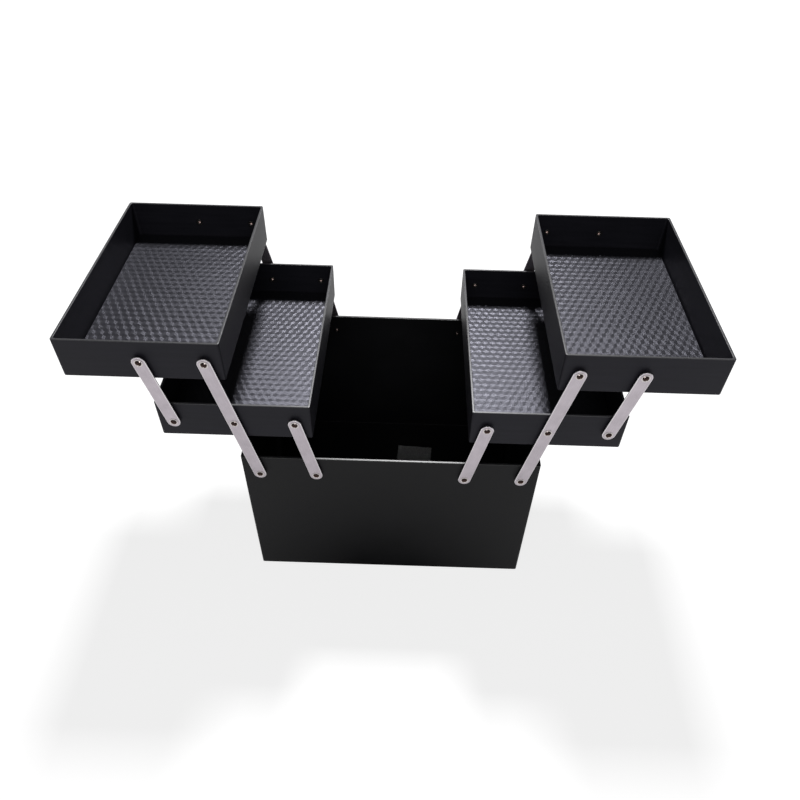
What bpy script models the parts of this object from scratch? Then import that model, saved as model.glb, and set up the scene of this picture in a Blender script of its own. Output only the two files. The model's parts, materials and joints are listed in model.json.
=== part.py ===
"""A cantilever makeup case, standing open.

A deep base box carries two pairs of shallow trays. Flat steel arms, riveted to the front and the back of
the base and of every tray, keep the trays level while they swing up and apart. Metres, X to the right,
Y to the back, Z up, with the origin under the middle of the base.
"""

import math

import bmesh
import bpy
from mathutils import Matrix

# Boxes
BASE_WIDTH = 0.300
DEPTH = 0.232
BASE_HEIGHT = 0.190
BASE_WALL = 0.0026
TRAY_HEIGHT = 0.042
TRAY_WALL = 0.0022
OUTER_CORNER = 0.0020
INNER_CORNER = 0.0030
FOOT_EDGE = 0.0012
RIM_EDGE = 0.0004
FLOOR_EDGE = 0.0010

# Linkage: every rivet sits the same distance under its rim, and neighbours are one spacing apart
PIVOT_SPACING = 0.057
PIVOT_TO_TRAY_END = 0.0155
PIVOT_BELOW_RIM = 0.0210
BASE_INNER_PIVOT = 0.075
ARM_PITCH = 0.0750
LEAN = math.radians(12.0)

# Arms and rivets
ARM_WIDTH = 0.0126
ARM_THICKNESS = 0.0015
ARM_EDGE = 0.0003
ARM_STANDOFF = 0.0022
SHANK_RADIUS = 0.0029
HOLE_RADIUS = 0.0033
BORE_RADIUS = 0.0024
HEAD_RADIUS = 0.0040
HEAD_HEIGHT = 0.0005
DISH_RADIUS = 0.0032
DISH_DEPTH = 0.0010
SHOULDER_RADIUS = 0.0046
CLINCH_RADIUS = 0.0042
CLINCH_HEIGHT = 0.0008

# Linings
MAT_THICKNESS = 0.0016
MAT_INSET = 0.0013
PATCH_SIZE = 0.045
PATCH_THICKNESS = 0.0016
PATCH_PLACE = (0.0270, 0.0470)
PATCH_TURN = math.radians(-3.0)
PATCH_CORNER = 0.0015

# Clearance between pieces that touch, and the facets of round shapes
GAP = 0.0003
CORNER_STEPS = 3
EDGE_STEPS = 2
ARM_END_STEPS = 8
HOLE_SIDES = 12
RIVET_SIDES = 10
SMOOTH_ANGLE = math.radians(35)

TRAY_WIDTH = 2 * (PIVOT_SPACING + PIVOT_TO_TRAY_END)
BASE_OUTER_PIVOT = BASE_INNER_PIVOT + PIVOT_SPACING
BASE_PIVOT_HEIGHT = BASE_HEIGHT - PIVOT_BELOW_RIM
TRAY_PIVOT_HEIGHT = TRAY_HEIGHT - PIVOT_BELOW_RIM
ARM_RADIUS = ARM_WIDTH / 2
ARM_FACE = DEPTH / 2 + ARM_STANDOFF + ARM_THICKNESS / 2
SIDES = {"left": -1, "right": 1}
FACES = {"front": -1, "back": 1}


def clear_scene():
    for old in list(bpy.data.objects):
        bpy.data.objects.remove(old)


def material(name, colour, roughness, metallic=0.0):
    made = bpy.data.materials.new(name)
    made.use_nodes = True
    shader = made.node_tree.nodes["Principled BSDF"]
    shader.inputs["Base Color"].default_value = (*colour, 1.0)
    shader.inputs["Roughness"].default_value = roughness
    shader.inputs["Metallic"].default_value = metallic
    return made


def finished_mesh(name, shape, surface):
    """The mesh of a bmesh, smooth over its rounds and sharp at its edges."""
    bmesh.ops.recalc_face_normals(shape, faces=shape.faces)
    mesh = bpy.data.meshes.new(name)
    shape.to_mesh(mesh)
    shape.free()
    mesh.materials.append(surface)
    mesh.shade_smooth()
    mesh.set_sharp_from_angle(angle=SMOOTH_ANGLE)
    return mesh


def place(name, data, parent=None, location=(0, 0, 0), rotation=(0, 0, 0)):
    """An object, or an empty where there is no data, at a place in its parent's frame."""
    made = bpy.data.objects.new(name, data)
    made.parent = parent
    made.location = location
    made.rotation_euler = rotation
    bpy.context.scene.collection.objects.link(made)
    return made


def loft(rings):
    """A closed shape through rings of equal length, capped flat at both ends."""
    shape = bmesh.new()
    loops = [[shape.verts.new(point) for point in ring] for ring in rings]
    count = len(loops[0])
    for first, second in zip(loops, loops[1:]):
        for i in range(count):
            j = (i + 1) % count
            shape.faces.new((first[i], first[j], second[j], second[i]))
    shape.faces.new(loops[0])
    shape.faces.new(loops[-1])
    return shape


def rectangle_ring(half_x, half_y, radius, z):
    """A rectangle with round corners, anticlockwise from its front right corner."""
    ring = []
    for turn, (side_x, side_y) in enumerate(((1, -1), (1, 1), (-1, 1), (-1, -1))):
        for step in range(CORNER_STEPS + 1):
            angle = math.radians(90) * (turn - 1 + step / CORNER_STEPS)
            x = side_x * (half_x - radius) + radius * math.cos(angle)
            y = side_y * (half_y - radius) + radius * math.sin(angle)
            ring.append((x, y, z))
    return ring


def open_box(width, height, wall):
    """A moulded box without a lid: up its outside, over the rim and down inside to the floor."""

    def ring(inset, radius, z):
        return rectangle_ring(width / 2 - inset, DEPTH / 2 - inset, radius, z)

    rings = []
    for step in range(EDGE_STEPS + 1):
        angle = math.radians(90) * step / EDGE_STEPS
        inset = FOOT_EDGE * (1 - math.sin(angle))
        rings.append(ring(inset, OUTER_CORNER - inset, FOOT_EDGE * (1 - math.cos(angle))))
    rings.append(ring(0, OUTER_CORNER, height - RIM_EDGE))
    rings.append(ring(RIM_EDGE, OUTER_CORNER - RIM_EDGE, height))
    rings.append(ring(wall - RIM_EDGE, INNER_CORNER + RIM_EDGE, height))
    rings.append(ring(wall, INNER_CORNER, height - RIM_EDGE))
    rings.append(ring(wall, INNER_CORNER, wall + FLOOR_EDGE))
    rings.append(ring(wall + FLOOR_EDGE, INNER_CORNER - FLOOR_EDGE, wall))
    return loft(rings)


def pad(half_x, half_y, corner, thickness):
    """A flat pad lying on z = 0."""
    return loft([rectangle_ring(half_x, half_y, corner, z) for z in (0, thickness)])


def arm(length):
    """A flat bar with round ends, from one end rivet up to the other, its edges rounded over."""

    def ring(inset, y):
        radius = ARM_RADIUS - inset
        points = []
        for start, centre_z in ((180, 0), (0, length)):
            for step in range(ARM_END_STEPS + 1):
                angle = math.radians(start + 180 * step / ARM_END_STEPS)
                points.append((radius * math.cos(angle), y, centre_z + radius * math.sin(angle)))
        return points

    half = ARM_THICKNESS / 2
    rounded = ring(ARM_EDGE, -half), ring(ARM_EDGE, half)
    straight = ring(0, ARM_EDGE - half), ring(0, half - ARM_EDGE)
    return loft([rounded[0], *straight, rounded[1]])


def rivet(wall):
    """A hollow rivet turned about Y: dished head outside, a shoulder that spaces the arm off the wall,
    and a clinched end inside. Heights run outwards from the wall's outer face."""
    shoulder_top = ARM_STANDOFF - GAP
    head_base = ARM_STANDOFF + ARM_THICKNESS + GAP
    head_top = head_base + HEAD_HEIGHT
    clinch_base = -wall - GAP
    clinch_end = clinch_base - CLINCH_HEIGHT
    profile = (
        (BORE_RADIUS, head_top - DISH_DEPTH),
        (DISH_RADIUS, head_top),
        (HEAD_RADIUS, head_base),
        (SHANK_RADIUS, head_base),
        (SHANK_RADIUS, shoulder_top),
        (SHOULDER_RADIUS, shoulder_top),
        (SHOULDER_RADIUS, GAP),
        (SHANK_RADIUS, GAP),
        (SHANK_RADIUS, clinch_base),
        (CLINCH_RADIUS, clinch_base),
        (CLINCH_RADIUS - GAP, clinch_end),
        (BORE_RADIUS, clinch_end + CLINCH_HEIGHT / 2),
    )
    shape = bmesh.new()
    points = [shape.verts.new((radius, -height, 0)) for radius, height in profile]
    edges = [shape.edges.new((points[i - 1], points[i])) for i in range(len(points))]
    bmesh.ops.spin(
        shape,
        geom=points + edges,
        cent=(0, 0, 0),
        axis=(0, 1, 0),
        angle=math.tau,
        steps=RIVET_SIDES,
        use_merge=True,
    )
    return shape


def drill(target, places):
    """Rivet holes along Y through all of the target, at each (x, z) in the target's own frame."""
    shape = bmesh.new()
    for x, z in places:
        turned = Matrix.Translation((x, 0, z)) @ Matrix.Rotation(math.radians(90), 4, "X")
        bmesh.ops.create_cone(
            shape,
            cap_ends=True,
            segments=HOLE_SIDES,
            radius1=HOLE_RADIUS,
            radius2=HOLE_RADIUS,
            depth=2 * DEPTH,
            matrix=turned,
        )
    mesh = bpy.data.meshes.new(target.name + "_holes")
    shape.to_mesh(mesh)
    shape.free()
    cutter = place(target.name + "_holes", mesh, target)
    cutter.hide_render = True
    cutter.display_type = "WIRE"
    cut = target.modifiers.new("rivet_holes", "BOOLEAN")
    cut.operation = "DIFFERENCE"
    cut.solver = "EXACT"
    cut.object = cutter


def rivets_on(holder, mesh, spots):
    """One rivet in the front wall and one in the back wall at each named (x, z) of a box."""
    for name, (x, z) in spots.items():
        for face, out in FACES.items():
            turn = 0 if face == "front" else math.pi
            place(f"rivet_{name}_{face}", mesh, holder, (x, out * DEPTH / 2, z), (0, 0, turn))


def arm_pair(kind, side, pivot, mesh, hole_heights):
    """The same arm on the front and on the back, both turning on one pivot."""
    for face, out in FACES.items():
        bar = place(f"{kind}_{side}_{face}", mesh, pivot, (0, out * ARM_FACE, 0))
        drill(bar, [(0, height) for height in hole_heights])


def tray(level, side, pivot, middle_x, hole_spots, plastic, lining, rivet_mesh):
    """A tray that hangs on its pivot, with its lining mat and its rivets."""
    name = f"{level}_tray_{side}"
    shape = open_box(TRAY_WIDTH, TRAY_HEIGHT, TRAY_WALL)
    bmesh.ops.translate(shape, verts=shape.verts, vec=(middle_x, 0, -TRAY_PIVOT_HEIGHT))
    shell = place(name, finished_mesh(name, shape, plastic), pivot)
    drill(shell, [(x, 0) for x in hole_spots.values()])
    inset = TRAY_WALL + MAT_INSET
    mat = pad(TRAY_WIDTH / 2 - inset, DEPTH / 2 - inset, INNER_CORNER, MAT_THICKNESS)
    mat_name = f"{level}_mat_{side}"
    floor = TRAY_WALL + GAP - TRAY_PIVOT_HEIGHT
    place(mat_name, finished_mesh(mat_name, mat, lining), shell, (middle_x, 0, floor))
    rivets_on(shell, rivet_mesh, {f"{level}_{spot}_{side}": (x, 0) for spot, x in hole_spots.items()})


clear_scene()

BASE_PLASTIC = material("grained_black_plastic", (0.019, 0.019, 0.021), 0.50)
TRAY_PLASTIC = material("smooth_black_plastic", (0.016, 0.016, 0.018), 0.28)
MAT_SHEET = material("embossed_black_sheet", (0.030, 0.030, 0.034), 0.32)
ARM_STEEL = material("plated_steel", (0.45, 0.42, 0.44), 0.34, 1.0)
RIVET_NICKEL = material("nickel_plate", (0.50, 0.44, 0.40), 0.26, 1.0)
PATCH_PILE = material("grey_pile", (0.045, 0.045, 0.046), 0.95)

# The base box stands on its flat underside
base_shape = open_box(BASE_WIDTH, BASE_HEIGHT, BASE_WALL)
base = place("base_box", finished_mesh("base_box", base_shape, BASE_PLASTIC))
base_pivots = (-BASE_OUTER_PIVOT, -BASE_INNER_PIVOT, BASE_INNER_PIVOT, BASE_OUTER_PIVOT)
drill(base, [(x, BASE_PIVOT_HEIGHT) for x in base_pivots])

# A textile patch stuck to the floor of the base
patch_shape = pad(PATCH_SIZE / 2, PATCH_SIZE / 2, PATCH_CORNER, PATCH_THICKNESS)
patch_mesh = finished_mesh("floor_patch", patch_shape, PATCH_PILE)
place("floor_patch", patch_mesh, base, (*PATCH_PLACE, BASE_WALL + GAP), (0, 0, PATCH_TURN))

# Arms and rivets of a kind share one mesh
base_rivet = finished_mesh("base_rivet", rivet(BASE_WALL), RIVET_NICKEL)
tray_rivet = finished_mesh("tray_rivet", rivet(TRAY_WALL), RIVET_NICKEL)
short_arm = finished_mesh("short_arm", arm(ARM_PITCH), ARM_STEEL)
long_arm = finished_mesh("long_arm", arm(2 * ARM_PITCH), ARM_STEEL)

# Each side's linkage hangs on empties that stand on its pivots: turning the two that carry arms on the base
# swings that side, and the others turn back or along by the same angle
for side, out in SIDES.items():
    lean = (0, out * LEAN, 0)
    upright = (0, -out * LEAN, 0)
    outer_foot = (out * BASE_OUTER_PIVOT, 0, BASE_PIVOT_HEIGHT)
    inner_foot = (out * BASE_INNER_PIVOT, 0, BASE_PIVOT_HEIGHT)
    long_pivot = place(f"long_arms_{side}", None, base, outer_foot, lean)
    inner_pivot = place(f"inner_arms_{side}", None, base, inner_foot, lean)
    lower_pivot = place(f"lower_level_{side}", None, long_pivot, (0, 0, ARM_PITCH), upright)
    upper_pivot = place(f"upper_level_{side}", None, long_pivot, (0, 0, 2 * ARM_PITCH), upright)
    outer_pivot = place(f"outer_arms_{side}", None, lower_pivot, (out * PIVOT_SPACING, 0, 0), lean)

    rivets_on(
        base,
        base_rivet,
        {
            f"base_outer_{side}": (out * BASE_OUTER_PIVOT, BASE_PIVOT_HEIGHT),
            f"base_inner_{side}": (out * BASE_INNER_PIVOT, BASE_PIVOT_HEIGHT),
        },
    )
    arm_pair("long_arm", side, long_pivot, long_arm, (0, ARM_PITCH, 2 * ARM_PITCH))
    arm_pair("inner_arm", side, inner_pivot, short_arm, (0, ARM_PITCH))
    arm_pair("outer_arm", side, outer_pivot, short_arm, (0, ARM_PITCH))

    lower_spots = {"inner": -out * PIVOT_SPACING, "middle": 0, "outer": out * PIVOT_SPACING}
    upper_spots = {"inner": 0, "middle": out * PIVOT_SPACING}
    tray("lower", side, lower_pivot, 0, lower_spots, TRAY_PLASTIC, MAT_SHEET, tray_rivet)
    tray("upper", side, upper_pivot, out * PIVOT_SPACING, upper_spots, TRAY_PLASTIC, MAT_SHEET, tray_rivet)
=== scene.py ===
"""The looks of a cantilever makeup case that stands open with its trays swung out."""

import json
import math

import bmesh
import bpy
from mathutils import Matrix, Vector, noise

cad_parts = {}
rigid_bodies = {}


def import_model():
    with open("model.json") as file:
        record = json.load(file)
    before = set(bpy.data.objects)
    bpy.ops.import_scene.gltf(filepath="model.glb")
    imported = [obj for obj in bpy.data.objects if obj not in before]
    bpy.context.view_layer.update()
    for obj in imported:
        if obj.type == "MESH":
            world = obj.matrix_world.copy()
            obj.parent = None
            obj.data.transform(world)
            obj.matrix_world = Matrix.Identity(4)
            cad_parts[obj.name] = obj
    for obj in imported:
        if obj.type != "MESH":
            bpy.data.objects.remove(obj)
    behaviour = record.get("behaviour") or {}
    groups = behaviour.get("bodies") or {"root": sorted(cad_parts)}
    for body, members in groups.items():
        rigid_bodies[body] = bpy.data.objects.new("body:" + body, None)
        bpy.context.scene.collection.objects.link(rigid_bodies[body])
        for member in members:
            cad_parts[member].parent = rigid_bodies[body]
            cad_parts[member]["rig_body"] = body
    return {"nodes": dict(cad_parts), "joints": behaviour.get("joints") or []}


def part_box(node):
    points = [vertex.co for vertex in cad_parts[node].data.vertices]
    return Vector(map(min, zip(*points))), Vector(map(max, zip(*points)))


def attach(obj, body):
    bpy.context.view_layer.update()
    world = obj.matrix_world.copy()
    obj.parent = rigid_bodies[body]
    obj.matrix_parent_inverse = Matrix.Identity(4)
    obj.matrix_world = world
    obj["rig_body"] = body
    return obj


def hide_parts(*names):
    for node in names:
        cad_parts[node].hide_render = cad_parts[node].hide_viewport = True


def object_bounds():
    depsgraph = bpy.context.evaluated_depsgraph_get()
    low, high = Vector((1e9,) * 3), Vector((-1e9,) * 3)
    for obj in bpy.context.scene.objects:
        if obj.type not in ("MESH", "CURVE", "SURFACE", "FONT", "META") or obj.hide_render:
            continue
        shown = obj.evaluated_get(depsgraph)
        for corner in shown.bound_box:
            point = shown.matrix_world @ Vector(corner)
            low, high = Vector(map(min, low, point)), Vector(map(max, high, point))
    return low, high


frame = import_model()
cad_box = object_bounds()

# Base box: one deep box, open at the top, injection moulded in black plastic. The mould is etched with a
# fine leather grain, the rim is a little worn and painted paler as a highlight, and front and back are
# drilled for the rivets of the arms.
BASE_WALL = 0.0026
BASE_BLACK = (0.0075, 0.0075, 0.0086)
BASE_GREY = (0.0120, 0.0120, 0.0134)
BASE_RIM_WEAR_AND_HIGHLIGHT = (0.0300, 0.0300, 0.0320)
BASE_SPECULAR = 0.165
BASE_ROUGHNESS = 0.40
RIM_COAT_ROUGHNESS = 0.34
OUTER_CORNER = 0.0020
INNER_CORNER = 0.0025
FOOT_ROUND = 0.0012
RIM_ROUND = 0.0005
FLOOR_ROUND = 0.0010
SHARP_BEND = math.radians(60)
HOLE_RADIUS = 0.0033
HOLE_SIDES = 24
GRAIN_CELL = 0.0011
GRAIN_PORE = 0.0004
GRAIN_DEPTH = 0.00012
GRAIN_STRENGTH = 0.55
CLOUD_SIZE = 0.060
NOISE_LOW = 0.36
NOISE_HIGH = 0.64
SLOPE_REACH = 0.1


class Wire:
    """An output of a shader node. Arithmetic on it adds Math nodes to the material."""

    def __init__(self, finish, socket):
        self.finish = finish
        self.socket = socket

    def math(self, operation, first, second):
        return self.finish.node("ShaderNodeMath", {"operation": operation}, {0: first, 1: second})

    def __add__(self, other):
        return self.math("ADD", self, other)

    def __sub__(self, other):
        return self.math("SUBTRACT", self, other)

    def __mul__(self, other):
        return self.math("MULTIPLY", self, other)

    def __pow__(self, other):
        return self.math("POWER", self, other)

    def __rsub__(self, other):
        return self.math("SUBTRACT", other, self)

    __radd__ = __add__
    __rmul__ = __mul__


class Finish:
    """A material in the making: its Principled shader and the nodes that feed it."""

    def __init__(self, name, **constants):
        self.material = bpy.data.materials.new(name)
        self.material.use_nodes = True
        self.tree = self.material.node_tree
        self.shader = self.tree.nodes["Principled BSDF"]
        for socket, value in constants.items():
            self.shader.inputs[socket.replace("_", " ")].default_value = value

    def node(self, kind, settings, sockets, output=0):
        """A node of a kind. Its settings come first, then the values or wires of its sockets."""
        made = self.tree.nodes.new(kind)
        for setting, value in settings.items():
            setattr(made, setting, value)
        for socket, value in sockets.items():
            if isinstance(value, Wire):
                self.tree.links.new(value.socket, made.inputs[socket])
            else:
                made.inputs[socket].default_value = value
        return Wire(self, made.outputs[output])

    def noise(self, place, size, detail=2.0):
        sockets = {"Vector": place, "Scale": 1 / size, "Detail": detail}
        return self.node("ShaderNodeTexNoise", {}, sockets)

    def blend(self, amount, first, second):
        """A colour that runs from the first to the second as the amount goes from 0 to 1."""
        ends = [(*end, 1.0) if isinstance(end, tuple) else end for end in (first, second)]
        return self.node("ShaderNodeMix", {"data_type": "RGBA"}, {0: amount, 6: ends[0], 7: ends[1]}, 2)

    def spread(self, value, low, high):
        """The stretch of a value from low to high, drawn out to 0 to 1."""
        return self.node("ShaderNodeMapRange", {}, {"Value": value, "From Min": low, "From Max": high})

    def attribute(self, name):
        return self.node("ShaderNodeAttribute", {"attribute_name": name}, {}, "Fac")

    def object_place(self):
        return self.node("ShaderNodeTexCoord", {}, {}, "Object")

    def feed(self, socket, wire):
        self.tree.links.new(wire.socket, self.shader.inputs[socket])

    def emboss(self, height, depth, strength, reach=SLOPE_REACH):
        """A relief some metres deep where the height is 1. Its slopes are read over a reach in pixels."""
        sockets = {"Height": height, "Distance": depth, "Strength": strength, "Filter Width": reach}
        self.feed("Normal", self.node("ShaderNodeBump", {}, sockets))


def grained_plastic():
    sheen = {"Specular_IOR_Level": BASE_SPECULAR, "Coat_Roughness": RIM_COAT_ROUGHNESS}
    finish = Finish("grained_black_plastic", **sheen)
    place = finish.object_place()
    cell = {"Vector": place, "Scale": 1 / GRAIN_CELL, "Smoothness": 0.35}
    pebbles = finish.node("ShaderNodeTexVoronoi", {"feature": "SMOOTH_F1"}, cell)
    pores = finish.noise(place, GRAIN_PORE, 3.0)
    cloud = finish.noise(place, CLOUD_SIZE, 4.0)
    rim = finish.attribute("rim")
    tone = finish.spread(cloud * 0.6 + pores * 0.4, NOISE_LOW, NOISE_HIGH)
    flat_colour = finish.blend(tone, BASE_BLACK, BASE_GREY)
    # Rim faces blend to a paler grey: partly wear, partly a painted highlight.
    finish.feed("Base Color", finish.blend(rim * pores, flat_colour, BASE_RIM_WEAR_AND_HIGHLIGHT))
    finish.feed("Roughness", BASE_ROUGHNESS + cloud * 0.12 + pores * 0.10 - rim * 0.14)
    finish.feed("Coat Weight", rim * (0.25 + pores))
    finish.emboss(pebbles * 0.7 + pores * 0.3, GRAIN_DEPTH, GRAIN_STRENGTH)
    return finish.material


def piece(name, shape, surface):
    """The object of a shape, which is used up."""
    mesh = bpy.data.meshes.new(name)
    shape.to_mesh(mesh)
    shape.free()
    mesh.materials.append(surface)
    made = bpy.data.objects.new(name, mesh)
    bpy.context.scene.collection.objects.link(made)
    return made


def stands_for(made, node):
    """The piece takes the place of a node on the body that carries it."""
    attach(made, frame["nodes"][node]["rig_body"])
    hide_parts(node)


def open_box(node, wall):
    """A box hollowed from its top, in the place of a node. Faces of its rim hold 1 in the value rim."""
    low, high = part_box(node)
    shape = bmesh.new()
    rim = shape.faces.layers.float.new("rim")
    bmesh.ops.create_cube(shape, size=1)
    bmesh.ops.scale(shape, verts=shape.verts, vec=high - low)
    bmesh.ops.translate(shape, verts=shape.verts, vec=(low + high) / 2)
    top = max(shape.faces, key=lambda face: face.calc_center_median().z)
    bmesh.ops.inset_region(shape, faces=[top], thickness=wall, use_even_offset=True)
    floor = bmesh.ops.extrude_discrete_faces(shape, faces=[top])["faces"][0]
    bmesh.ops.translate(shape, verts=floor.verts, vec=(0, 0, low.z + wall - high.z))

    def round_off(radius, segments, chosen):
        bends = [e for e in shape.edges if e.calc_face_angle(0) > SHARP_BEND]
        edges = [e for e in bends if chosen(e.verts[0].co, e.verts[1].co)]
        made = bmesh.ops.bevel(
            shape,
            geom=edges,
            offset=radius,
            affect="EDGES",
            segments=segments,
            profile=0.5,
            material=-1,
        )
        for face in made["faces"]:
            face.smooth = True

    def upright(a, b):
        return abs(a.z - b.z) > wall

    def outside(a):
        return abs(a.x - (low.x + high.x) / 2) > (high.x - low.x - wall) / 2

    def level(height):
        return lambda a, b: abs(a.z - height) < wall / 10 and abs(b.z - height) < wall / 10

    round_off(OUTER_CORNER, segments=5, chosen=lambda a, b: upright(a, b) and outside(a))
    round_off(INNER_CORNER, segments=6, chosen=lambda a, b: upright(a, b) and not outside(a))
    round_off(FOOT_ROUND, segments=4, chosen=level(low.z))
    round_off(RIM_ROUND, segments=3, chosen=level(high.z))
    round_off(FLOOR_ROUND, segments=3, chosen=level(low.z + wall))
    for face in shape.faces:
        face[rim] = 1.0 if min(vert.co.z for vert in face.verts) > high.z - 2 * RIM_ROUND else 0.0
    return shape


def drill(made, pivots):
    """Rivet holes along Y through all of a piece, at the X and Z of each pivot."""
    low, high = cad_box
    shape = bmesh.new()
    for pivot in pivots:
        turned = Matrix.Translation((pivot.x, 0, pivot.z)) @ Matrix.Rotation(math.pi / 2, 4, "X")
        bmesh.ops.create_cone(
            shape,
            cap_ends=True,
            segments=HOLE_SIDES,
            radius1=HOLE_RADIUS,
            radius2=HOLE_RADIUS,
            depth=2 * (high.y - low.y),
            matrix=turned,
        )
    cutter = piece(made.name + "_holes", shape, made.data.materials[0])
    cut = made.modifiers.new("holes", "BOOLEAN")
    cut.operation = "DIFFERENCE"
    cut.solver = "EXACT"
    cut.object = cutter
    seen = made.evaluated_get(bpy.context.evaluated_depsgraph_get())
    made.data = bpy.data.meshes.new_from_object(seen)
    made.modifiers.clear()
    bpy.data.objects.remove(cutter)


def pivots_on(body):
    """Where the rivets of a body stand."""
    rivets = [n for n, o in frame["nodes"].items() if n.startswith("rivet") and o["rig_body"] == body]
    return [sum(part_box(rivet), Vector()) / 2 for rivet in rivets if rivet.endswith("front")]


base = piece("base_box_moulding", open_box("base_box", BASE_WALL), grained_plastic())
drill(base, pivots_on("base"))
stands_for(base, "base_box")

# Floor patch: a square of dark grey looped textile, stuck flat to the floor of the base a little off its
# middle. The cut edges are uneven and the pile stands in small tufts.
PATCH_SIZE = 0.045
PATCH_TURN = math.radians(-3.0)
PATCH_CELL = 0.0007
PATCH_FRAY = PATCH_CELL / 2
FRAY_SEED = 7
TUFT_SIZE = 0.0016
TUFT_HEIGHT = 0.0005
TUFT_DIP = 0.6
PILE_DARK = (0.120, 0.120, 0.123)
PILE_PALE = (0.520, 0.520, 0.530)
PILE_ROUGHNESS = 0.97
PILE_LOW = 0.38
PILE_HIGH = 0.64
PILE_DEPTH = 0.0004
PILE_STRENGTH = 0.8


def pile():
    finish = Finish("grey_pile", Specular_IOR_Level=0.15, Sheen_Weight=0.35, Sheen_Roughness=0.6)
    place = finish.object_place()
    tufts = finish.noise(place, TUFT_SIZE / 2, 3.0)
    specks = finish.noise(place, TUFT_SIZE / 5, 1.0)
    lit = finish.spread(tufts * 0.5 + specks * 0.5, PILE_LOW, PILE_HIGH)
    finish.feed("Base Color", finish.blend(lit, PILE_DARK, PILE_PALE))
    finish.feed("Roughness", PILE_ROUGHNESS - lit * 0.15)
    finish.emboss(specks, PILE_DEPTH, PILE_STRENGTH)
    return finish.material


def slab_under(shape, bottom):
    """Closes a bent sheet downwards: its edge drops to a flat underside."""
    rim = [e for e in shape.edges if e.is_boundary]
    skirt = bmesh.ops.extrude_edge_only(shape, edges=rim)["geom"]
    for vert in [v for v in skirt if isinstance(v, bmesh.types.BMVert)]:
        vert.co.z = bottom
    hem = [e for e in shape.edges if e.is_boundary]
    bmesh.ops.edgeloop_fill(shape, edges=hem)
    bmesh.ops.recalc_face_normals(shape, faces=shape.faces)


def patch_shape():
    """The patch with its tufts. Noise vectors follow the clock unless seeded, so the fray has a seed."""
    low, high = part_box("floor_patch")
    noise.seed_set(FRAY_SEED)
    cells = round(PATCH_SIZE / PATCH_CELL)
    shape = bmesh.new()
    bmesh.ops.create_grid(shape, x_segments=cells, y_segments=cells, size=PATCH_SIZE / 2)
    for vert in shape.verts:
        tuft = noise.noise(vert.co / TUFT_SIZE)
        fray = noise.noise_vector(vert.co / TUFT_SIZE) * PATCH_FRAY
        vert.co += Vector((fray.x, fray.y, (tuft - TUFT_DIP) * TUFT_HEIGHT))
    bmesh.ops.rotate(shape, verts=shape.verts, matrix=Matrix.Rotation(PATCH_TURN, 3, "Z"))
    middle = (low + high) / 2
    bmesh.ops.translate(shape, verts=shape.verts, vec=(middle.x, middle.y, high.z))
    slab_under(shape, low.z)
    for face in shape.faces:
        face.smooth = True
    return shape


patch = piece("floor_patch_pile", patch_shape(), pile())
stands_for(patch, "floor_patch")

# Trays: four shallow open boxes from one mould, in the same black plastic as the base but with smooth, half
# glossy walls that show faint flow marks. They hang on the arms by rivets through front and back.
TRAY_WALL = 0.0022
TRAY_BLACK = (0.0084, 0.0082, 0.0116)
TRAY_GREY = (0.0142, 0.0138, 0.0192)
TRAY_RIM_WEAR_AND_HIGHLIGHT = (0.1050, 0.1050, 0.1100)
TRAY_SHEEN = (0.92, 0.91, 1.0, 1.0)
TRAY_SPECULAR = 0.23
TRAY_ROUGHNESS = 0.48
FLOW_LENGTH = 0.050
FLOW_WIDTH = 0.004
FLOW_DEPTH = 0.00004
FLOW_STRENGTH = 0.15
HAIRLINE = 0.0009
SIDES = {"left": -1, "right": 1}
LEVELS = ("lower", "upper")


def smooth_plastic():
    sheen = {"Specular_IOR_Level": TRAY_SPECULAR, "Specular_Tint": TRAY_SHEEN}
    finish = Finish("smooth_black_plastic", **sheen, Coat_Roughness=RIM_COAT_ROUGHNESS)
    place = finish.object_place()
    stretch = {"Vector": place, "Scale": (1 / FLOW_LENGTH, 1 / FLOW_LENGTH, 1 / FLOW_WIDTH)}
    along = finish.node("ShaderNodeMapping", {}, stretch)
    flow = finish.noise(along, 1.0, 3.0)
    cloud = finish.noise(place, CLOUD_SIZE, 3.0)
    fine = finish.noise(place, HAIRLINE, 2.0)
    rim = finish.attribute("rim")
    tone = finish.spread(flow * 0.5 + cloud * 0.5, NOISE_LOW, NOISE_HIGH)
    flat_colour = finish.blend(tone, TRAY_BLACK, TRAY_GREY)
    # Rim faces blend to a much paler grey: partly wear, partly a painted highlight.
    finish.feed("Base Color", finish.blend(rim * fine, flat_colour, TRAY_RIM_WEAR_AND_HIGHLIGHT))
    finish.feed("Roughness", TRAY_ROUGHNESS + cloud * 0.08 + flow * 0.04 - rim * 0.20)
    finish.feed("Coat Weight", rim)
    finish.emboss(flow * 0.6 + fine * 0.4, FLOW_DEPTH, FLOW_STRENGTH)
    return finish.material


tray_plastic = smooth_plastic()
for side in SIDES:
    for level in LEVELS:
        node = f"{level}_tray_{side}"
        tray = piece(node + "_moulding", open_box(node, TRAY_WALL), tray_plastic)
        drill(tray, pivots_on(node))
        stands_for(tray, node)

# Lining mats: black soft plastic sheet, cut to the floor of each tray and laid in loose. Rollers have
# pressed it all over with rhombi, three to a cell like stacked cubes. Each rhombus is hatched with fine
# grooves that run its own way.
MAT_CORNER = 0.0030
MAT_CUTS = 24
CELL_WIDTH = 0.00790
CELL_EDGE = 0.00503
CELL_ROW = 1.5 * CELL_EDGE
GROOVE_PITCH = 0.0005
GROOVE_SLOPE = 0.33
GROOVE_TURN = math.radians(25.0)
GROOVE_DEPTH = GROOVE_SLOPE * GROOVE_PITCH / 4
GROOVE_STRENGTH = 1.0
GROOVE_REACH = 0.03
ROLL_SHIFT = Vector((0.0031, 0.0047, 0.0))
MAT_BLACK = (0.0040, 0.0040, 0.0052)
MAT_GREY = (0.0080, 0.0080, 0.0098)
MAT_SHEEN = (0.84, 0.84, 1.0, 1.0)
MAT_SPECULAR = 0.87
MAT_ROUGHNESS = 0.326


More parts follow.
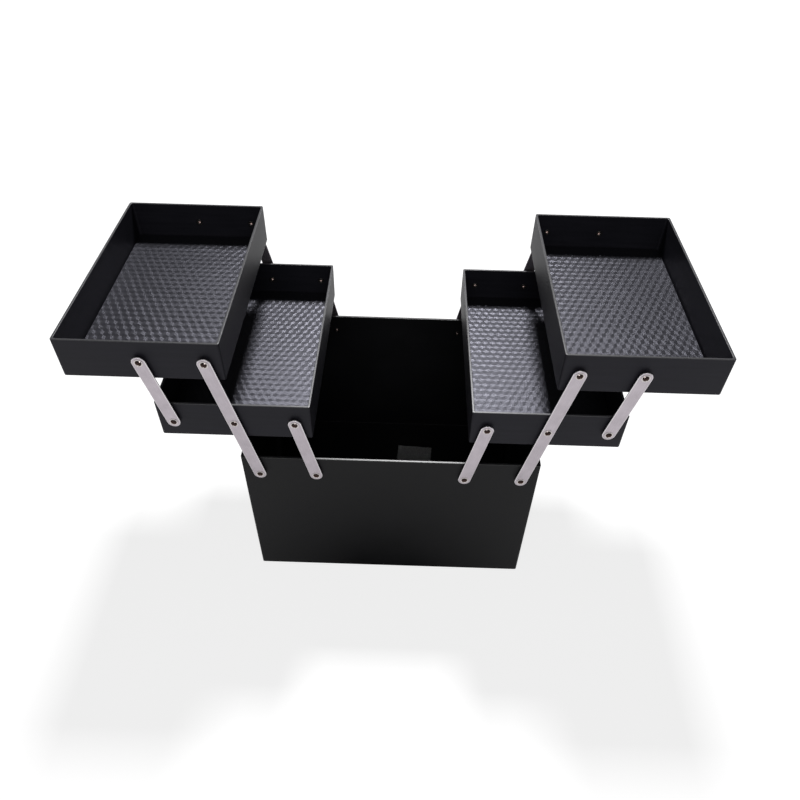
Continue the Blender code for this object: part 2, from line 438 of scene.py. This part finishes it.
def hatched_sheet():
    finish = Finish("hatched_black_sheet", Specular_IOR_Level=MAT_SPECULAR, Specular_Tint=MAT_SHEEN)
    place = finish.object_place()
    cloud = finish.noise(place, CLOUD_SIZE, 3.0)
    fine = finish.noise(place, GRAIN_PORE, 2.0)
    hatch = finish.node("ShaderNodeTexCoord", {}, {}, "UV")
    across = finish.node("ShaderNodeSeparateXYZ", {}, {0: hatch}, "X")
    groove = finish.node("ShaderNodeMath", {"operation": "FRACT"}, {0: across * (1 / GROOVE_PITCH)})
    valley = (groove - 0.5) ** 2 * 4
    finish.feed("Base Color", finish.blend(cloud * 0.5 + fine * 0.5, MAT_BLACK, MAT_GREY))
    finish.feed("Roughness", MAT_ROUGHNESS + cloud * 0.05 + fine * 0.02)
    finish.emboss(fine * 0.04 - valley, GROOVE_DEPTH, GROOVE_STRENGTH, GROOVE_REACH)
    return finish.material


def rhombus(shape, uv, corner, first, second, turn):
    """A rhombus on two edges from a corner. Its UV map runs across and along grooves turned from X."""
    spots = (corner, corner + first, corner + first + second, corner + second)
    face = shape.faces.new([shape.verts.new(spot) for spot in spots])
    along = Vector((math.cos(turn), math.sin(turn), 0))
    across = Vector((-along.y, along.x, 0))
    for loop in face.loops:
        loop[uv].uv = (loop.vert.co.dot(across), loop.vert.co.dot(along))


def mat_shape(node, shift):
    """The sheet of one tray, cut out of the pattern on the roll at some shift."""
    low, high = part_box(node)
    half = (high - low) / 2
    rise = Vector((CELL_WIDTH / 2, CELL_EDGE / 2, 0))
    fall = Vector((-CELL_WIDTH / 2, CELL_EDGE / 2, 0))
    down = -rise - fall
    shape = bmesh.new()
    uv = shape.loops.layers.uv.new("UVMap")
    rows = math.ceil(half.y / CELL_ROW) + 2
    columns = math.ceil(half.x / CELL_WIDTH) + 2
    for row in range(-rows, rows):
        for column in range(-columns, columns):
            corner = shift + Vector(((column + row % 2 / 2) * CELL_WIDTH, row * CELL_ROW, 0))
            rhombus(shape, uv, corner, fall, rise, -GROOVE_TURN)
            rhombus(shape, uv, corner, down, fall, math.pi / 2)
            rhombus(shape, uv, corner, rise, down, GROOVE_TURN)
    bmesh.ops.remove_doubles(shape, verts=shape.verts, dist=CELL_EDGE / 100)
    for cut in range(MAT_CUTS):
        angle = math.tau * cut / MAT_CUTS
        out = Vector((math.cos(angle), math.sin(angle), 0))
        reach = (half.x - MAT_CORNER) * abs(out.x) + (half.y - MAT_CORNER) * abs(out.y) + MAT_CORNER
        sheet = shape.verts[:] + shape.edges[:] + shape.faces[:]
        bmesh.ops.bisect_plane(shape, geom=sheet, plane_co=out * reach, plane_no=out, clear_outer=True)
    middle = (low + high) / 2
    bmesh.ops.translate(shape, verts=shape.verts, vec=(middle.x, middle.y, high.z))
    slab_under(shape, low.z)
    return shape


mat_sheet = hatched_sheet()
for side, out in SIDES.items():
    for level in LEVELS:
        node = f"{level}_mat_{side}"
        mat = piece(node + "_sheet", mat_shape(node, ROLL_SHIFT * out), mat_sheet)
        stands_for(mat, node)

# Arms: strips of plated steel, blanked with round ends, tumbled so that their edges are soft, and drilled.
# They turn on the rivets. Long arms run from the base through the lower tray to the upper one, short ones
# from each level to the next.
ARM_WIDTH = 0.0126
ARM_EDGE = 0.0006
ARM_EDGE_STEPS = 3
ARM_END_STEPS = 16
FACES = {"front": -1, "back": 1}
STEEL_DARK = (0.396, 0.360, 0.390)
STEEL_PALE = (0.538, 0.492, 0.534)
STEEL_EDGE_WEAR_AND_HIGHLIGHT = (0.76, 0.73, 0.75)
STEEL_ROUGHNESS = 0.30
STREAK_WIDTH = 0.0004
STREAK_LENGTH = 0.012
STREAK_DEPTH = 0.00003
STREAK_STRENGTH = 0.25


def plated_steel():
    finish = Finish("plated_steel", Metallic=1.0)
    strip = finish.node("ShaderNodeTexCoord", {}, {}, "UV")
    stretch = {"Vector": strip, "Scale": (1 / STREAK_WIDTH, 1 / STREAK_LENGTH, 1)}
    streaks = finish.noise(finish.node("ShaderNodeMapping", {}, stretch), 1.0, 3.0)
    cloud = finish.noise(finish.object_place(), CLOUD_SIZE / 4, 3.0)
    fine = finish.noise(finish.object_place(), GRAIN_PORE, 2.0)
    tone = finish.spread(streaks * 0.4 + cloud * 0.35 + fine * 0.25, NOISE_LOW, NOISE_HIGH)
    edge = finish.attribute("edge")
    # The rounded edges are coloured paler: partly polish from tumbling, partly a painted highlight.
    finish.feed("Base Color", finish.blend(edge, finish.blend(tone, STEEL_DARK, STEEL_PALE), STEEL_EDGE_WEAR_AND_HIGHLIGHT))
    finish.feed("Roughness", STEEL_ROUGHNESS + streaks * 0.12 + fine * 0.06)
    finish.emboss(streaks * 0.6 + fine * 0.4, STREAK_DEPTH, STREAK_STRENGTH)
    return finish.material


def strip_shape(node, foot, head, out):
    """A strip with round ends whose end holes are at foot and head. Its UV map runs across and along it."""
    low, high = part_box(node)
    reach = head - foot
    shape = bmesh.new()
    uv = shape.loops.layers.uv.new("UVMap")
    edge = shape.faces.layers.float.new("edge")
    bmesh.ops.create_grid(shape, x_segments=1, y_segments=1, size=0.5)
    bmesh.ops.scale(shape, verts=shape.verts, vec=(ARM_WIDTH, reach.length + ARM_WIDTH, 1))
    bmesh.ops.bevel(
        shape,
        geom=shape.verts,
        offset=ARM_WIDTH / 2,
        affect="VERTICES",
        segments=ARM_END_STEPS,
        profile=0.5,
        material=-1,
    )
    bmesh.ops.remove_doubles(shape, verts=shape.verts, dist=ARM_EDGE / 10)
    sheet = bmesh.ops.extrude_face_region(shape, geom=shape.faces[:])["geom"]
    lifted = [v for v in sheet if isinstance(v, bmesh.types.BMVert)]
    bmesh.ops.translate(shape, verts=lifted, vec=(0, 0, high.y - low.y))
    bmesh.ops.recalc_face_normals(shape, faces=shape.faces)
    outline = [e for e in shape.edges if e.calc_face_angle(0) > SHARP_BEND]
    rounded = bmesh.ops.bevel(
        shape,
        geom=outline,
        offset=ARM_EDGE,
        affect="EDGES",
        segments=ARM_EDGE_STEPS,
        profile=0.5,
        material=-1,
    )
    for face in rounded["faces"]:
        face.smooth = True
        face[edge] = 1.0
    for face in shape.faces:
        face.smooth = face.smooth or abs(face.normal.z) < 0.5
        for loop in face.loops:
            loop[uv].uv = loop.vert.co.xy
    along = reach.normalized()
    normal = Vector((0, out, 0))
    turned = Matrix((along.cross(normal), along, normal)).transposed().to_4x4()
    inner = low.y if out > 0 else high.y
    middle = (foot + head) / 2
    middle.y = inner
    bmesh.ops.transform(shape, verts=shape.verts, matrix=Matrix.Translation(middle) @ turned)
    return shape


arm_steel = plated_steel()
pivot_at = {joint["name"]: Vector(joint["pos_m"]) for joint in frame["joints"]}
for side in SIDES:
    foot = pivot_at[f"fold_{side}"]
    middle = pivot_at[f"lower_tray_{side}_level"]
    rise = middle - foot
    runs = {
        "long": [foot, middle, pivot_at[f"upper_tray_{side}_level"]],
        "inner": [pivot_at[f"inner_arms_{side}_on_base"] + rise * step for step in (0, 1)],
        "outer": [pivot_at[f"outer_arms_{side}_on_tray"] + rise * step for step in (0, 1)],
    }
    for kind, pivots in runs.items():
        for face, out in FACES.items():
            node = f"{kind}_arm_{side}_{face}"
            arm = piece(node + "_strip", strip_shape(node, pivots[0], pivots[-1], out), arm_steel)
            drill(arm, pivots)
            stands_for(arm, node)

# Rivets: hollow steel rivets, nickel plated. The head is rolled out like an eyelet over the arm, a shoulder
# spaces the arm off the wall, and the tail is rolled over inside the box. Each stays open right through.
SHANK_RADIUS = 0.0029
BORE_RADIUS = 0.0026
LIP_RADIUS = 0.0009
HEAD_RADIUS = 0.0040
HEAD_SLOPE = 0.00008
HEAD_SEAT = 0.00005
SHOULDER_RADIUS = 0.0046
TAIL_RADIUS = 0.0036
TAIL_BORE = 0.0013
TAIL_HEIGHT = 0.0006
ARM_STANDOFF = 0.0022
ARM_THICKNESS = 0.0015
HEAD_HEIGHT = 0.0004
RIVET_GAP = 0.0003
RIVET_STEPS = 28
LIP_STEPS = 9
TAIL_STEPS = 4
RIVET_SHARP = math.radians(50)
NICKEL_PALE = (0.560, 0.525, 0.520)
NICKEL_TAIL_DARK = (0.045, 0.042, 0.040)
BORE_BROWN = (0.190, 0.092, 0.070)
BORE_METAL = 0.15
NICKEL_ROUGHNESS = 0.22
PLATE_DEPTH = 0.00002
PLATE_STRENGTH = 0.2


def nickel():
    finish = Finish("nickel_plate")
    place = finish.object_place()
    cloud = finish.noise(place, TUFT_SIZE, 3.0)
    tail_dark = finish.attribute("tail_dark")
    bore = finish.attribute("bore")
    # The tail, which lies inside the box, is coloured nearly black.
    plate = finish.blend(tail_dark * (0.8 + cloud * 0.3), NICKEL_PALE, NICKEL_TAIL_DARK)
    finish.feed("Base Color", finish.blend(bore * (0.7 + cloud * 0.5), plate, BORE_BROWN))
    finish.feed("Metallic", 1 - bore * (1 - BORE_METAL))
    finish.feed("Roughness", NICKEL_ROUGHNESS + cloud * 0.14 + tail_dark * 0.08 + bore * 0.2)
    finish.emboss(cloud, PLATE_DEPTH, PLATE_STRENGTH)
    return finish.material


def roll(centre_r, centre_t, radius, start, end, steps):
    """Points along an arc of a rivet's outline: distance from its axis, and height above the wall."""
    points = []
    for step in range(steps + 1):
        angle = math.radians(start + (end - start) * step / steps)
        points.append((centre_r + radius * math.cos(angle), centre_t + radius * math.sin(angle)))
    return points


def rivet_shape(node, wall):
    low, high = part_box(node)
    centre = (low + high) / 2
    out = math.copysign(1, centre.y)
    seat = ARM_STANDOFF + ARM_THICKNESS + HEAD_SEAT
    crown = ARM_STANDOFF + ARM_THICKNESS + HEAD_HEIGHT
    tail = -wall - RIVET_GAP
    outline = roll(BORE_RADIUS + LIP_RADIUS, crown - LIP_RADIUS, LIP_RADIUS, 180, 90, LIP_STEPS)
    outline += [(HEAD_RADIUS, crown - HEAD_SLOPE), (HEAD_RADIUS, seat)]
    outline += [(SHANK_RADIUS, seat), (SHANK_RADIUS, ARM_STANDOFF - RIVET_GAP)]
    outline += [(SHOULDER_RADIUS, ARM_STANDOFF - RIVET_GAP), (SHOULDER_RADIUS, RIVET_GAP)]
    outline += [(SHANK_RADIUS, RIVET_GAP), (SHANK_RADIUS, tail)]
    outline += roll(TAIL_RADIUS - TAIL_HEIGHT, tail, TAIL_HEIGHT, 0, -90, TAIL_STEPS)
    outline += roll(TAIL_BORE + TAIL_HEIGHT, tail, TAIL_HEIGHT, -90, -180, TAIL_STEPS)
    outline += [(BORE_RADIUS, tail + RIVET_GAP)]
    shape = bmesh.new()
    tail_dark = shape.verts.layers.float.new("tail_dark")
    bore = shape.verts.layers.float.new("bore")
    wall_face = Vector((centre.x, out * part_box("base_box")[1].y, centre.z))
    points = [shape.verts.new(wall_face + Vector((r, out * t, 0))) for r, t in outline]
    for point, (r, t) in zip(points, outline):
        # Points inside the box, the tail, are marked to be coloured nearly black.
        point[tail_dark] = 1.0 if t < 0 else 0.0
        point[bore] = 1.0 if t > 0 and r < BORE_RADIUS + LIP_RADIUS / 4 else 0.0
    edges = [shape.edges.new((points[i - 1], points[i])) for i in range(len(points))]
    bmesh.ops.spin(
        shape,
        geom=points + edges,
        cent=wall_face,
        axis=(0, 1, 0),
        angle=math.tau,
        steps=RIVET_STEPS,
        use_merge=True,
    )
    bmesh.ops.recalc_face_normals(shape, faces=shape.faces)
    for face in shape.faces:
        face.smooth = True
    return shape


rivet_nickel = nickel()
for node in sorted(frame["nodes"]):
    if node.startswith("rivet"):
        wall = BASE_WALL if node.startswith("rivet_base") else TRAY_WALL
        rivet = piece(node + "_rolled", rivet_shape(node, wall), rivet_nickel)
        rivet.data.set_sharp_from_angle(angle=RIVET_SHARP)
        stands_for(rivet, node)

# Studio: a plain white floor without an edge, a soft lamp high behind the case, a broad one in front of it
# and a dim surround. The floor is white to the camera and in reflections and keeps the shadow of the case.
# Reflections see a painted shade on it in front of the foot of the case: there its glow is darkened for
# glossy rays only.
FLOOR_HALF = 12.0
FLOOR_DROP = 0.0002
FLOOR_WHITE = (0.36, 0.36, 0.36)
FLOOR_GLOW = (0.78, 0.78, 0.78)
FAR_GLOW = (1.0, 1.0, 1.0)
FLOOR_PAINTED_SHADE = (0.0, 0.0, 0.0)
GLOW_NEAR = 0.9
GLOW_FAR = 2.6
SHADE_CENTRE = (-0.005, -0.116)
SHADE_STRETCH = 1.6
SHADE_DARK = 0.020
SHADE_CLEAR = 0.155
SURROUND = 0.05
LAMP_TARGET = Vector((0.0, 0.0, 0.28))
KEY_LAMP = {"size": 0.40, "power": 58.0, "distance": 2.2, "around": 1.8, "up": 58.2}
FRONT_FILL = {"size": 1.6, "power": 17.0, "distance": 2.5, "around": 180.0, "up": 34.0}


def floor_finish():
    finish = Finish("white_floor", Roughness=1.0, Specular_IOR_Level=0.0)
    finish.shader.inputs["Base Color"].default_value = (*FLOOR_WHITE, 1.0)
    place = finish.object_place()
    away = finish.node("ShaderNodeVectorMath", {"operation": "LENGTH"}, {0: place}, "Value")
    x, y = SHADE_CENTRE
    oval = {"Location": (-x / SHADE_STRETCH, -y, 0), "Scale": (1 / SHADE_STRETCH, 1, 0)}
    from_foot = finish.node("ShaderNodeMapping", {}, {"Vector": place, **oval})
    off = finish.node("ShaderNodeVectorMath", {"operation": "LENGTH"}, {0: from_foot}, "Value")
    rays = ("Is Camera Ray", "Is Glossy Ray", "Is Transmission Ray")
    seen, mirrored, through = [finish.node("ShaderNodeLightPath", {}, {}, ray) for ray in rays]
    glow = finish.blend(finish.spread(away, GLOW_NEAR, GLOW_FAR), FLOOR_GLOW, FAR_GLOW)
    # Painted shade: for glossy rays only, the glow fades to black in an oval in front of the foot of the
    # case.
    shade = mirrored * (1 - finish.spread(off, SHADE_DARK, SHADE_CLEAR))
    finish.feed("Emission Color", finish.blend(shade, glow, FLOOR_PAINTED_SHADE))
    finish.feed("Emission Strength", seen + mirrored + through)
    return finish.material


floor_shape = bmesh.new()
bmesh.ops.create_grid(floor_shape, x_segments=1, y_segments=1, size=FLOOR_HALF)
bmesh.ops.translate(floor_shape, verts=floor_shape.verts, vec=(0, 0, -FLOOR_DROP))
piece("studio_floor", floor_shape, floor_finish())


def lamp(name, size, power, distance, around, up):
    """A square soft lamp that looks at the case, some degrees around from the back and some degrees up."""
    turn = Matrix.Rotation(math.radians(-around), 3, "Z") @ Matrix.Rotation(math.radians(up), 3, "X")
    toward = turn @ Vector((0, 1, 0))
    light = bpy.data.lights.new(name, "AREA")
    light.shape = "SQUARE"
    light.size = size
    light.energy = power
    made = bpy.data.objects.new(name, light)
    made.location = LAMP_TARGET + toward * distance
    made.rotation_euler = (-toward).to_track_quat("-Z", "Y").to_euler()
    made.visible_camera = False
    bpy.context.scene.collection.objects.link(made)


lamp("key_lamp", **KEY_LAMP)
lamp("front_fill", **FRONT_FILL)

surround = bpy.data.worlds.new("surround")
surround.use_nodes = True
sky = surround.node_tree.nodes["Background"]
sky.inputs["Color"].default_value = (1, 1, 1, 1)
rays = surround.node_tree.nodes.new("ShaderNodeLightPath")
seen = surround.node_tree.nodes.new("ShaderNodeMapRange")
seen.inputs["To Min"].default_value = SURROUND
surround.node_tree.links.new(rays.outputs["Is Camera Ray"], seen.inputs["Value"])
surround.node_tree.links.new(seen.outputs["Result"], sky.inputs["Strength"])
bpy.context.scene.world = surround
bpy.context.scene.view_settings.view_transform = "Standard"

# Camera: it stands a little over half a metre in front of the case and looks down on it. Its place and
# angles were fitted to corners, edges and rivets measured on the photograph.
IMAGE_SIDE = 800
SENSOR_WIDTH = 36.0
CLIP_START = 0.01
FOCAL_PIXELS = 704.07
EYE = Vector((0.01234, -0.57033, 0.72772))
YAW = -0.0096
PITCH = -0.7815
ROLL = 0.0238

camera = bpy.data.cameras.new("camera")
camera.sensor_width = SENSOR_WIDTH
camera.lens = FOCAL_PIXELS * SENSOR_WIDTH / IMAGE_SIDE
camera.clip_start = CLIP_START
ahead = Vector((math.sin(YAW) * math.cos(PITCH), math.cos(YAW) * math.cos(PITCH), math.sin(PITCH)))
level_right = Vector((math.cos(YAW), -math.sin(YAW), 0))
level_up = level_right.cross(ahead)
right = level_right * math.cos(ROLL) + level_up * math.sin(ROLL)
up = level_up * math.cos(ROLL) - level_right * math.sin(ROLL)
camera_object = bpy.data.objects.new("camera", camera)
turned = Matrix((right, up, -ahead)).transposed().to_4x4()
camera_object.matrix_world = Matrix.Translation(EYE) @ turned
bpy.context.scene.collection.objects.link(camera_object)
bpy.context.scene.camera = camera_object
